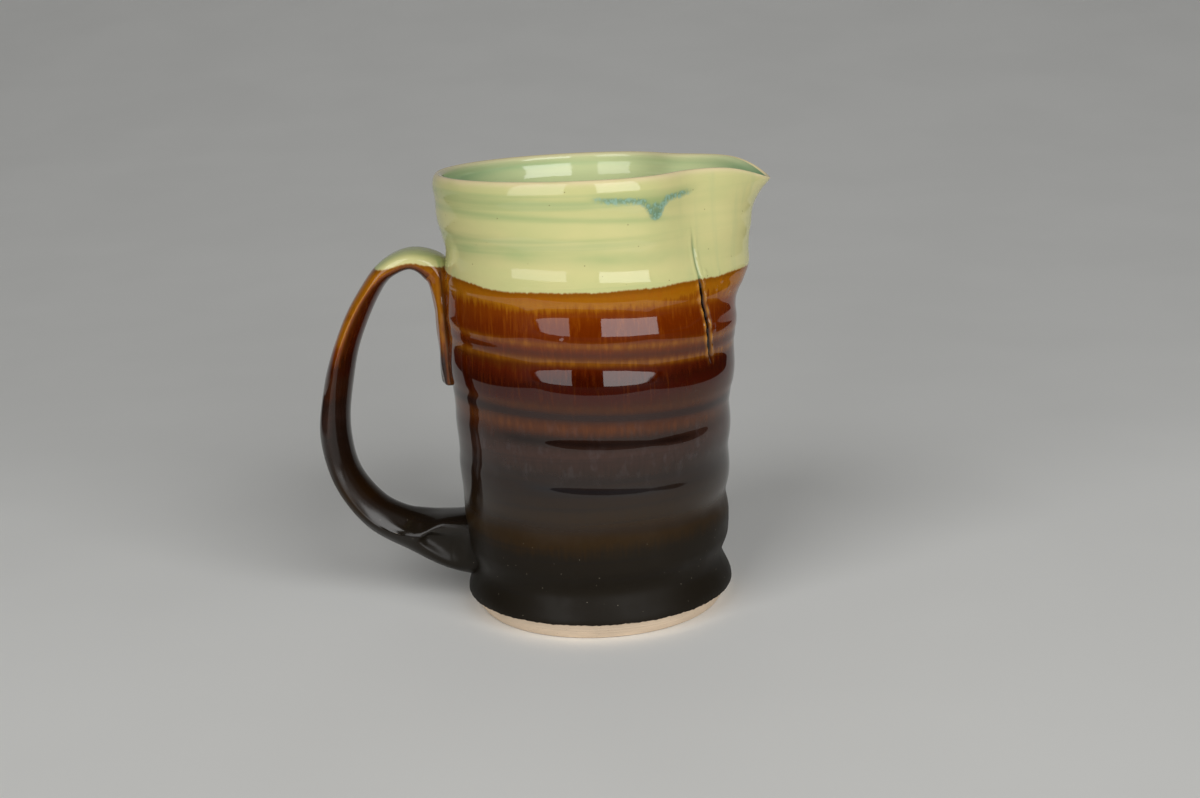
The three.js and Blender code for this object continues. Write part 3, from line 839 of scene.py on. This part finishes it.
# %% Make the strap's pieces
tail_end = share_at(ARCH_LINE, 0.1, 0.25)
arch_end = share_at(ARCH_LINE, 0.3, 0.6)
loop_end = share_at(BLACK_LINE, 0.4, 0.8)
tail = strap_sleeve("tail_coat", 0, tail_end, 100, tip=True)
arch = strap_sleeve("arch_coat", tail_end, arch_end, 70)
loop = strap_sleeve("loop_coat", arch_end, loop_end, 120)
joint = strap_sleeve("joint_coat", loop_end, 1, 150)
core = strap_clay()

# %% [markdown]
# ## Glaze
#
# A fired glaze is coloured glass over clay: pale where it is thin on ridges and rims, deep where it
# pools. The materials read the height above the dip line, the rings and the marks from the points,
# add noise drawn out along the way the glaze ran, and put a smooth glassy surface on top. Small
# helpers keep each node graph readable.

# %% Node helpers
def linear(red, green, blue):
    """A colour given in 0 to 255 screen values, as Blender's linear light."""
    def one(v):
        v = v / 255
        return v / 12.92 if v <= 0.04045 else ((v + 0.055) / 1.055) ** 2.4
    return (one(red), one(green), one(blue), 1.0)


class Graph:
    """A material's node graph with one shader, and short ways to add nodes to it."""

    def __init__(self, name):
        self.material = bpy.data.materials.new(name)
        self.material.use_nodes = True
        self.nodes = self.material.node_tree.nodes
        self.links = self.material.node_tree.links
        self.shader = self.nodes["Principled BSDF"]

    def put(self, socket, value):
        if isinstance(value, bpy.types.NodeSocket):
            self.links.new(value, socket)
        else:
            socket.default_value = value

    def value(self, key):
        node = self.nodes.new("ShaderNodeAttribute")
        node.attribute_name = key
        return node.outputs["Fac"]

    def math(self, operation, a, b=0.0, clamp=False):
        node = self.nodes.new("ShaderNodeMath")
        node.operation = operation
        node.use_clamp = clamp
        self.put(node.inputs[0], a)
        self.put(node.inputs[1], b)
        return node.outputs[0]

    def times(self, a, b, clamp=False):
        return self.math("MULTIPLY", a, b, clamp)

    def plus(self, a, b, clamp=False):
        return self.math("ADD", a, b, clamp)

    def span(self, value, low, high, to_low=0.0, to_high=1.0):
        node = self.nodes.new("ShaderNodeMapRange")
        node.interpolation_type = "SMOOTHSTEP"
        self.put(node.inputs["Value"], value)
        for key, number in zip(("From Min", "From Max", "To Min", "To Max"), (low, high, to_low, to_high)):
            node.inputs[key].default_value = number
        return node.outputs["Result"]

    def blend(self, share, a, b):
        node = self.nodes.new("ShaderNodeMix")
        node.data_type = "RGBA"
        self.put(node.inputs["Factor"], share)
        self.put(node.inputs["A"], a)
        self.put(node.inputs["B"], b)
        return node.outputs["Result"]

    def place(self, scale):
        coordinates = self.nodes.new("ShaderNodeTexCoord")
        mapping = self.nodes.new("ShaderNodeMapping")
        mapping.inputs["Scale"].default_value = scale
        self.links.new(coordinates.outputs["Object"], mapping.inputs["Vector"])
        return mapping.outputs["Vector"]

    def noise(self, scale, detail=3.0, rough=0.55, warp=0.0):
        node = self.nodes.new("ShaderNodeTexNoise")
        node.inputs["Scale"].default_value = 1.0
        node.inputs["Detail"].default_value = detail
        node.inputs["Roughness"].default_value = rough
        node.inputs["Distortion"].default_value = warp
        self.links.new(self.place(scale), node.inputs["Vector"])
        return node.outputs["Fac"]

    def dots(self, per_metre, size):
        """Small round specks, 1 inside a speck."""
        node = self.nodes.new("ShaderNodeTexVoronoi")
        node.inputs["Scale"].default_value = 1.0
        self.links.new(self.place((per_metre,) * 3), node.inputs["Vector"])
        return self.span(node.outputs["Distance"], size, size * 0.55)

    def ramp(self, value, stops):
        node = self.nodes.new("ShaderNodeValToRGB")
        while len(node.color_ramp.elements) < len(stops):
            node.color_ramp.elements.new(1.0)
        for element, (place, colour) in zip(node.color_ramp.elements, stops):
            element.position = place
            element.color = colour
        self.put(node.inputs["Fac"], value)
        return node.outputs["Color"]

    def bump(self, height, distance):
        node = self.nodes.new("ShaderNodeBump")
        node.inputs["Strength"].default_value = 1.0
        node.inputs["Distance"].default_value = distance
        self.put(node.inputs["Height"], height)
        return node.outputs["Normal"]

    def finish(self, colour, roughness, normal=None, ior=1.5):
        self.put(self.shader.inputs["Base Color"], colour)
        self.put(self.shader.inputs["Roughness"], roughness)
        self.shader.inputs["IOR"].default_value = ior
        if normal is not None:
            self.links.new(normal, self.shader.inputs["Normal"])
        print("material", self.material.name, "with", len(self.nodes), "nodes")
        return self.material


print("the cream of the rim in linear light:", [round(v, 2) for v in linear(224, 206, 164)[:3]])

# %% [markdown]
# ## Celadon and iron glaze
#
# Celadon is pale and greener where it is thick. The iron glaze goes from amber through red to black
# as it thickens down the wall. Two materials would meet in a hard line, so one material holds both
# and changes over at a dip line that noise makes uneven. A colour ramp over the height gives the iron
# glaze its bands, and streaks of noise drawn out upright make it run.

# %% Celadon colour
def celadon_colour(g):
    """Pale yellow-green, greener in the hollows of the rings and as painted shade on the top of the strap's
    arch, with iron specks and a cream rim.
    """
    brushed = g.noise((9, 9, 330), detail=4.0, warp=0.3)
    cloud = g.noise((36, 36, 80))
    pool_and_painted_dark = g.times(g.value("pool_and_painted_dark"), g.span(cloud, 0.25, 0.6, 0.35, 1.0))
    green = g.plus(g.span(brushed, 0.48, 0.78, 0, 0.4), g.times(pool_and_painted_dark, 0.65), clamp=True)
    green = g.times(green, g.span(g.value("towards_lip"), 0, 1, 1.0, 0.35))
    base = g.blend(g.span(cloud, 0.35, 0.7), linear(202, 196, 138), linear(192, 192, 133))
    base = g.blend(green, base, linear(146, 168, 114))
    upright = g.noise((300, 300, 20), detail=2.0)
    streaked = g.times(g.span(upright, 0.5, 0.75, 0, 0.4), g.value("towards_lip"))
    base = g.blend(streaked, base, linear(178, 184, 132))
    mottle = g.noise((1000, 1000, 800), detail=3.0)
    uneven = g.times(g.plus(mottle, -0.5), 2.4)
    flush = g.value("flush")
    seen = g.times(g.span(g.plus(flush, g.times(uneven, flush)), 0.25, 1.05), 0.85)
    blue = g.blend(g.span(mottle, 0.44, 0.56), linear(98, 132, 112), linear(132, 166, 150))
    base = g.blend(g.times(g.value("halo"), 0.8), base, linear(142, 162, 108))
    base = g.blend(g.times(g.value("drop"), 0.75), base, linear(92, 124, 104))
    base = g.blend(seen, base, blue)
    base = g.blend(g.times(g.dots(280, 0.06), 0.7), base, linear(112, 100, 60))
    base = g.blend(g.times(g.value("crack"), 2.2, clamp=True), base, linear(86, 122, 84))
    rim = g.times(g.value("rim"), g.span(g.noise((120, 120, 120)), 0.2, 0.6, 0.5, 1.0))
    return g.blend(g.times(rim, 0.85), base, linear(224, 206, 164))


# %% Iron glaze colour
IRON_STOPS = [(0.06, (24, 19, 11)), (0.18, (26, 21, 14)), (0.24, (28, 22, 14)), (0.285, (44, 29, 8)),
              (0.32, (42, 27, 8)), (0.36, (40, 28, 16)), (0.42, (34, 23, 16)), (0.48, (40, 28, 22)),
              (0.53, (56, 36, 29)), (0.57, (44, 26, 18)), (0.60, (60, 26, 7)), (0.65, (58, 29, 14)),
              (0.69, (54, 10, 1)), (0.72, (48, 9, 0)), (0.765, (74, 20, 1)), (0.79, (82, 36, 3)),
              (0.83, (92, 32, 0)), (0.87, (100, 36, 1)), (0.91, (118, 52, 2)), (0.93, (150, 92, 10)),
              (0.97, (146, 82, 4))]


def iron_colour(g):
    """Amber under the collar, through red and violet brown to gunmetal and brown black at the foot."""
    run = g.noise((1150, 1150, 120), detail=3.0, rough=0.6)
    drift = g.noise((30, 30, 70), detail=4.0)
    wander = g.times(g.plus(drift, -0.5), 7.0)
    streak = g.times(g.plus(run, -0.5), 6.0)
    level = g.plus(g.value("level"), g.plus(wander, streak))
    base = g.ramp(g.times(level, 0.01), [(place, linear(*rgb)) for place, rgb in IRON_STOPS])
    in_amber = g.span(g.value("level"), 56, 70)
    fur = g.times(g.span(run, 0.5, 0.72), in_amber)
    fur = g.times(fur, g.span(g.value("level"), 78, 88, 0.07, 0.2))
    base = g.blend(fur, base, linear(158, 88, 16))
    beads = g.span(g.noise((700, 700, 100), detail=3.0), 0.38, 0.7)
    thin = g.times(g.value("thin"), g.span(beads, 0, 1, 0.5, 1.0))
    pale = g.blend(g.span(g.value("level"), 62, 74), linear(128, 70, 20), linear(172, 112, 24))
    base = g.blend(g.times(thin, g.span(g.value("level"), 50, 66, 0, 0.5)), base, pale)
    in_violet = g.times(g.span(g.value("level"), 40, 50), g.span(g.value("level"), 66, 56))
    hair = g.times(g.span(g.noise((420, 420, 240), detail=4.0), 0.5, 0.75), in_violet)
    base = g.blend(g.times(hair, 0.12), base, linear(104, 100, 104))
    # Pooled glaze darkens along the rings; the same value carries the lower painted dark reflection band, and
    # painted shade on the strap.
    base = g.blend(g.times(g.value("pool_and_painted_dark"), 0.65, clamp=True), base, linear(21, 18, 20))
    # The upper painted dark reflection band, in dark red-brown.
    base = g.blend(g.times(g.value("painted_reflection"), 0.95, clamp=True), base, linear(20, 5, 1))
    rows = g.noise((8, 8, 700))
    turned_lines = g.times(g.span(rows, 0.5, 0.75, 0, 0.5), g.span(g.value("level"), 60, 44))
    base = g.blend(turned_lines, base, linear(24, 20, 18))
    ash = g.times(g.dots(420, 0.06), g.span(g.value("level"), 34, 20, 0, 0.6))
    base = g.blend(ash, base, linear(160, 150, 132))
    # Darker where the strap sets it: low on the loop's outer face, and painted shade on its inner face.
    base = g.blend(g.times(g.value("dark_share"), 0.85), base, linear(20, 6, 1))
    base = g.blend(g.times(g.value("crack_edge"), 0.95, clamp=True), base, linear(176, 120, 44))
    return g.blend(g.times(g.value("crack"), 2.0, clamp=True), base, linear(12, 8, 5))


print("bands of the iron glaze:", len(IRON_STOPS))

# %% The dipped glaze of the outside
def dipped_glaze():
    """Celadon above the dip line and iron glaze below it, glossy at the top and satin at the foot."""
    g = Graph("dipped_glaze")
    slow = g.times(g.plus(g.noise((60, 60, 30), detail=2.0), -0.5), 1.6)
    fast = g.times(g.plus(g.noise((1000, 1000, 300), detail=2.0), -0.5), 0.8)
    above = g.plus(g.value("above_dip"), g.plus(slow, fast))
    colour = g.blend(g.span(above, 0.15, 0.85), iron_colour(g), celadon_colour(g))
    edge = g.times(g.span(above, -1.2, 0.1), g.span(above, 0.7, 0.2))
    colour = g.blend(g.times(edge, 0.5), colour, linear(112, 66, 6))
    satin = g.times(g.value("satin"), g.span(g.noise((60, 60, 60)), 0.3, 0.7, 0.85, 1.15))
    fine = g.noise((1500, 1500, 1500), detail=2.0)
    roughness = g.plus(g.plus(g.times(satin, 0.45), 0.02), g.times(fine, 0.025))
    g.put(g.shader.inputs["Specular IOR Level"], g.span(satin, 0.2, 1.0, 0.5, 0.12))
    return g.finish(colour, roughness, g.bump(g.noise((260, 260, 160), detail=1.0), 0.00002), ior=1.48)


glaze = dipped_glaze()

# %% [markdown]
# ## Lining glaze and bare clay
#
# The lining is a bluer glass, so it has a material of its own, deeper down the wall and in the channel
# of the lip, with painted shade towards the handle. Bare stoneware is matt and gritty. Its grit is too
# fine for shape, so a bump gives it.

# %% Lining glaze
def lining_glaze():
    """Blue-green glass that deepens lower down and in the channel of the lip, with painted shade towards the
    handle.
    """
    g = Graph("lining_glaze")
    brushed = g.noise((16, 16, 240))
    dark_share = g.span(g.plus(g.value("level"), g.times(brushed, 24.0)), 134, 84)
    colour = g.blend(dark_share, linear(212, 220, 164), linear(140, 176, 124))
    colour = g.blend(g.span(brushed, 0.45, 0.75, 0, 0.5), colour, linear(170, 206, 152))
    # Pooled glaze in the lip channel, and painted shade towards the handle, in dark green.
    colour = g.blend(g.times(g.value("pool_and_painted_dark"), 0.85), colour, linear(72, 122, 90))
    colour = g.blend(g.times(g.value("rim"), 0.8), colour, linear(220, 206, 164))
    fine = g.noise((1400, 1400, 1400), detail=2.0)
    roughness = g.plus(g.times(fine, 0.04), 0.05)
    return g.finish(colour, roughness, g.bump(g.noise((200, 200, 200), detail=1.0), 0.00004), ior=1.58)


lining_finish = lining_glaze()

# %% Bare clay
def bare_clay(name, tint):
    """Matt fired stoneware with grog specks and faint tool lines."""
    g = Graph(name)
    cloud = g.noise((90, 90, 300), detail=4.0)
    grit = g.noise((2600, 2600, 2600))
    colour = g.blend(g.span(cloud, 0.3, 0.7), linear(*tint), linear(*(v * 0.93 for v in tint)))
    colour = g.blend(g.times(g.dots(700, 0.12), 0.5), colour, linear(150, 116, 84))
    roughness = g.plus(g.times(grit, 0.2), 0.7)
    return g.finish(colour, roughness, g.bump(grit, 0.00008))


clay_finish = bare_clay("bare_stoneware", (214, 193, 168))
slip_finish = bare_clay("luting_slip", (208, 184, 154))

# %% [markdown]
# ## Dress the frame
#
# Each new piece takes its material and rides on the one rigid body of the part, and the CAD piece
# that it stands for is hidden. The table also gives the record's finish for each piece. The two slip
# joints stay as they are in the frame, hidden between the clay pieces, with a clay finish of their own.

# %% Materials, bodies and replaced pieces
DRESS = [
    (clay, clay_finish, "stoneware", "thrown_body"),
    (core, clay_finish, "stoneware", "pulled_handle"),
    (celadon, glaze, "celadon", "celadon_glaze"),
    (amber, glaze, "amber", "amber_glaze"),
    (dark, glaze, "iron_black", "black_glaze"),
    (lining_coat, lining_finish, "liner", "liner_glaze"),
    (arch, glaze, "celadon", "handle_celadon_glaze"),
    (loop, glaze, "amber", "handle_amber_glaze"),
    (tail, glaze, "amber", "handle_tail_glaze"),
    (joint, glaze, "iron_black", "handle_black_glaze"),
]
for piece, finish, slot, node in DRESS:
    piece.data.materials.append(finish)
    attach(piece, "root")
    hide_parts(node)
for node in ("upper_slip_joint", "lower_slip_joint"):
    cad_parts[node].data.materials.clear()
    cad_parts[node].data.materials.append(slip_finish)
print("pieces dressed:", len(DRESS))

# %% [markdown]
# ## Floor, light and camera
#
# The jug stands on a sweep of pale grey paper between two soft boxes. The gloss shows what is around
# it, so the boxes are real rectangles of light and the room is dim. A black card lies on the floor
# beyond the table's edge. It is seen only in the gloss, where it makes the dark bands of the rings.

# %% Floor
SWEEP_HALF = 4.0
SWEEP_FRONT = -2.6
SWEEP_BEND = 0.3
SWEEP_ROUND = 3.0
SWEEP_TOP = 3.4


def pale_floor():
    """A plain floor that curves up into a backdrop."""
    a = np.linspace(0, math.pi / 2, 40)
    y = np.concatenate([[SWEEP_FRONT], SWEEP_BEND + SWEEP_ROUND * np.sin(a), [SWEEP_BEND + SWEEP_ROUND]])
    z = np.concatenate([[0], SWEEP_ROUND * (1 - np.cos(a)), [SWEEP_TOP]])
    points = [(x, y[i], z[i]) for i in range(len(y)) for x in (-SWEEP_HALF, SWEEP_HALF)]
    faces = [(2 * i, 2 * i + 1, 2 * i + 3, 2 * i + 2) for i in range(len(y) - 1)]
    mesh = bpy.data.meshes.new("pale_floor")
    mesh.from_pydata(points, [], faces)
    mesh.polygons.foreach_set("use_smooth", np.ones(len(faces), bool))
    g = Graph("grey_paper")
    cloud = g.span(g.noise((9, 9, 9), detail=2.0), 0.3, 0.7)
    tone = g.blend(cloud, linear(238, 238, 235), linear(235, 235, 232))
    mesh.materials.append(g.finish(tone, 0.8))
    floor = bpy.data.objects.new("pale_floor", mesh)
    bpy.context.scene.collection.objects.link(floor)
    return floor


pale_floor()

# %% Black card
CARD_NEAR = -0.31
CARD_SIDE = 0.3
CARD_BACK = 0.6
CARD_FAR = 2.5
CARD_LIFT = 0.001


def black_card():
    """Dark card round three sides of the table, seen only in the gloss."""
    x = (-CARD_FAR, -CARD_SIDE, CARD_SIDE, CARD_FAR)
    y = (-CARD_FAR, CARD_NEAR, CARD_BACK)
    points = [(px, py, CARD_LIFT) for py in y for px in x]
    mesh = bpy.data.meshes.new("black_card")
    mesh.from_pydata(points, [], [(0, 1, 5, 4), (1, 2, 6, 5), (2, 3, 7, 6), (4, 5, 9, 8), (6, 7, 11, 10)])
    g = Graph("black_card")
    tone = g.blend(g.noise((20, 20, 20)), linear(12, 12, 13), linear(16, 16, 17))
    mesh.materials.append(g.finish(tone, 0.9))
    card = bpy.data.objects.new("black_card", mesh)
    bpy.context.scene.collection.objects.link(card)
    card.visible_camera = False
    card.visible_diffuse = False
    card.visible_shadow = False
    return card


black_card()


# %% Soft boxes
def soft_box(name, azimuth, distance, bottom, width, height, power):
    """A rectangle of light that stands round the jug at an azimuth from the camera's side."""
    lamp = bpy.data.lights.new(name, "AREA")
    lamp.shape = "RECTANGLE"
    lamp.size = width
    lamp.size_y = height
    lamp.energy = power
    holder = bpy.data.objects.new(name, lamp)
    bpy.context.scene.collection.objects.link(holder)
    turn = math.radians(azimuth)
    holder.location = (distance * math.sin(turn), -distance * math.cos(turn), bottom + height / 2)
    holder.rotation_euler = (math.pi / 2, 0, turn)
    holder.visible_camera = False
    print(name, "at", [round(v, 2) for v in holder.location])


soft_box("left_soft_box", azimuth=-35, distance=1.6, bottom=0.02, width=1.24, height=2.6, power=24.5)
soft_box("right_soft_box", azimuth=31, distance=1.6, bottom=0.02, width=1.24, height=1.8, power=27.5)


# %% World
def dim_room(ambient, seen, in_gloss):
    """Dim light from all round. The camera sees plain grey beyond the floor, and the gloss sees dark."""
    world = bpy.data.worlds.new("dim_room")
    bpy.context.scene.world = world
    world.use_nodes = True
    nodes, links = world.node_tree.nodes, world.node_tree.links
    path = nodes.new("ShaderNodeLightPath")
    colour = None
    for ray, tone in (("Is Glossy Ray", in_gloss), ("Is Camera Ray", seen)):
        blend = nodes.new("ShaderNodeMix")
        blend.data_type = "RGBA"
        blend.inputs["A"].default_value = (ambient, ambient, ambient, 1)
        blend.inputs["B"].default_value = (tone, tone, tone, 1)
        links.new(path.outputs[ray], blend.inputs["Factor"])
        if colour is not None:
            links.new(colour, blend.inputs["A"])
        colour = blend.outputs["Result"]
    links.new(colour, nodes["Background"].inputs["Color"])
    print("room:", ambient, "seen:", seen, "in the gloss:", in_gloss)


dim_room(ambient=0.04, seen=0.2, in_gloss=0.01)

# %% Camera
CAMERA_PLACE = (0.00216, -0.4353, 0.1678)
CAMERA_DOWN = math.radians(14.09)
CAMERA_ROLL = math.radians(2.52)
LENS_LENGTH = 47.16
lens = bpy.data.cameras.new("photo_camera")
lens.sensor_width = 36.0
lens.sensor_fit = "HORIZONTAL"
lens.lens = LENS_LENGTH
lens.clip_start = 0.01
camera = bpy.data.objects.new("photo_camera", lens)
bpy.context.scene.collection.objects.link(camera)
tilt = Matrix.Rotation(math.pi / 2 - CAMERA_DOWN, 4, "X") @ Matrix.Rotation(-CAMERA_ROLL, 4, "Z")
camera.matrix_world = Matrix.Translation(CAMERA_PLACE) @ tilt
bpy.context.scene.camera = camera
bpy.context.scene.view_settings.view_transform = "Standard"
print("camera at", CAMERA_PLACE)
